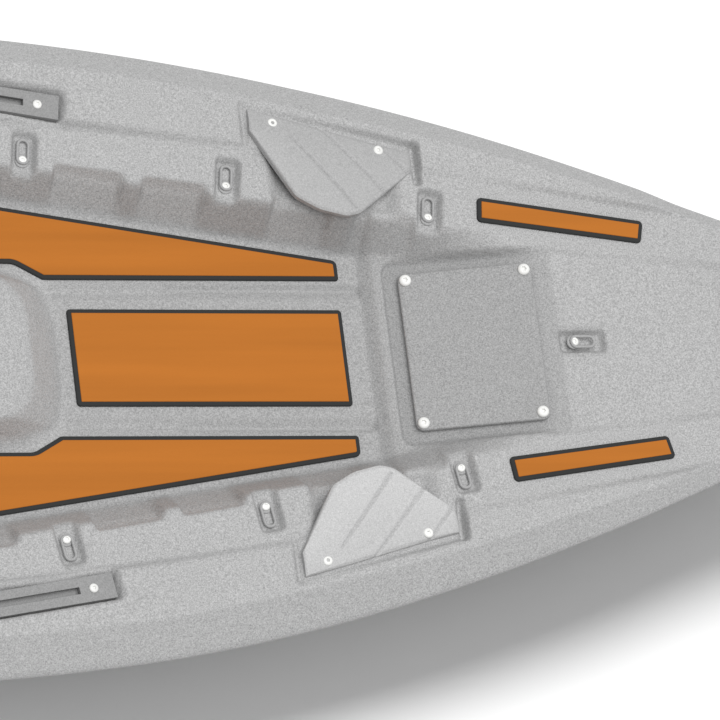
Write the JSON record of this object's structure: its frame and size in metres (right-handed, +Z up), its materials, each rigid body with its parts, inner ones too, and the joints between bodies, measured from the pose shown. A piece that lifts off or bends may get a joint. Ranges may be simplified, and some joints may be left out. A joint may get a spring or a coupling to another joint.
{
  "type": "sit-on-top kayak",
  "caption": "Sit-on-top fishing kayak: grey moulded hull with foam deck pads, gear tracks, tie-down eyes, bolted hatch plate, folding seat, sliding foot pedals and swinging handles.",
  "frame": {"origin": "middle of the hull's length and beam, on the surface its keel flat stands on", "axes": "+X to the bow, +Y to port, +Z up"},
  "size_m": [3.5, 0.887, 0.7442],
  "materials": {
    "hull": "fine speckled grain, rotomoulded",
    "foam_dark": "matte closed-cell foam, bevelled border",
    "foam_orange": "matte closed-cell foam with faint streaks",
    "grey_plastic": "moulded, fine grain",
    "dark_plastic": "moulded, satin",
    "screw": "pale coated stainless heads",
    "metal": "satin anodised",
    "steel": "brushed",
    "gasket": "soft foam rubber",
    "mesh": "woven sling fabric"
  },
  "bodies": {
    "hull": {"deck_moulding": "hull", "bottom_moulding": "hull", "center_pad_base": "foam_dark", "port_floor_pad_base": "foam_dark", "starboard_floor_pad_base": "foam_dark", "port_bow_pad_base": "foam_dark", "starboard_bow_pad_base": "foam_dark", "center_pad_top": "foam_orange", "port_floor_pad_top": "foam_orange", "starboard_floor_pad_top": "foam_orange", "port_bow_pad_top": "foam_orange", "starboard_bow_pad_top": "foam_orange", "port_gusset": "grey_plastic", "starboard_gusset": "grey_plastic", "gusset_screws": "screw", "hatch_plate": "grey_plastic", "hatch_gasket": "gasket", "hatch_bolts": "screw", "tie_down_eyes": "grey_plastic", "tie_down_screws": "screw", "port_front_track": "grey_plastic", "starboard_front_track": "grey_plastic", "port_rear_track": "grey_plastic", "starboard_rear_track": "grey_plastic", "track_screws": "screw", "console_hatch_ring": "dark_plastic", "console_hatch_screws": "steel", "console_hatch_pin": "steel", "storage_cup": "dark_plastic", "port_rod_holder": "dark_plastic", "starboard_rod_holder": "dark_plastic", "rod_holder_screws": "steel", "port_foot_rail": "metal", "starboard_foot_rail": "metal", "foot_rail_screws": "steel", "bow_handle_lugs": "dark_plastic", "stern_handle_lugs": "dark_plastic", "port_side_handle_lugs": "dark_plastic", "starboard_side_handle_lugs": "dark_plastic", "seat_base_frame": "metal", "seat_feet": "dark_plastic", "seat_hinge_pins": "steel", "seat_base_sling": "mesh", "drain_plug": "dark_plastic"},
    "seat_back": {"seat_back_frame": "metal", "seat_back_sling": "mesh"},
    "port_pedal": {"port_foot_pedal": "dark_plastic"},
    "starboard_pedal": {"starboard_foot_pedal": "dark_plastic"},
    "bow_handle": {"bow_handle": "dark_plastic"},
    "stern_handle": {"stern_handle": "dark_plastic"},
    "port_side_handle": {"port_side_handle": "dark_plastic"},
    "starboard_side_handle": {"starboard_side_handle": "dark_plastic"},
    "console_lid": {"console_hatch_lid": "dark_plastic", "console_hatch_seal": "gasket"}
  },
  "joints": [
    {"name": "seat_back_fold", "type": "hinge", "parent": "hull", "child": "seat_back", "pos_m": [-0.43, 0, 0.318], "axis": [0, 1, 0], "range_deg": [0, 96]},
    {"name": "port_pedal_slide", "type": "slide", "parent": "hull", "child": "port_pedal", "axis": [0.9882, -0.1532, 0], "range_m": [0, 0.15]},
    {"name": "starboard_pedal_slide", "type": "slide", "parent": "hull", "child": "starboard_pedal", "axis": [0.9882, 0.1532, 0], "range_m": [0, 0.15]},
    {"name": "bow_handle_swing", "type": "hinge", "parent": "hull", "child": "bow_handle", "pos_m": [1.44898, 0, 0.26369], "axis": [0, -1, 0], "range_deg": [0, 120]},
    {"name": "stern_handle_swing", "type": "hinge", "parent": "hull", "child": "stern_handle", "pos_m": [-1.60151, 0, 0.26994], "axis": [0, -1, 0], "range_deg": [0, 120]},
    {"name": "port_side_handle_swing", "type": "hinge", "parent": "hull", "child": "port_side_handle", "pos_m": [-0.06, 0.4335, 0.206], "axis": [1, 0, 0], "range_deg": [0, 100]},
    {"name": "starboard_side_handle_swing", "type": "hinge", "parent": "hull", "child": "starboard_side_handle", "pos_m": [-0.06, -0.4335, 0.206], "axis": [-1, 0, 0], "range_deg": [0, 100]},
    {"name": "console_lid_hinge", "type": "hinge", "parent": "hull", "child": "console_lid", "pos_m": [0.231, 0, 0.2295], "axis": [0, -1, 0], "range_deg": [0, 105]}
  ]
}
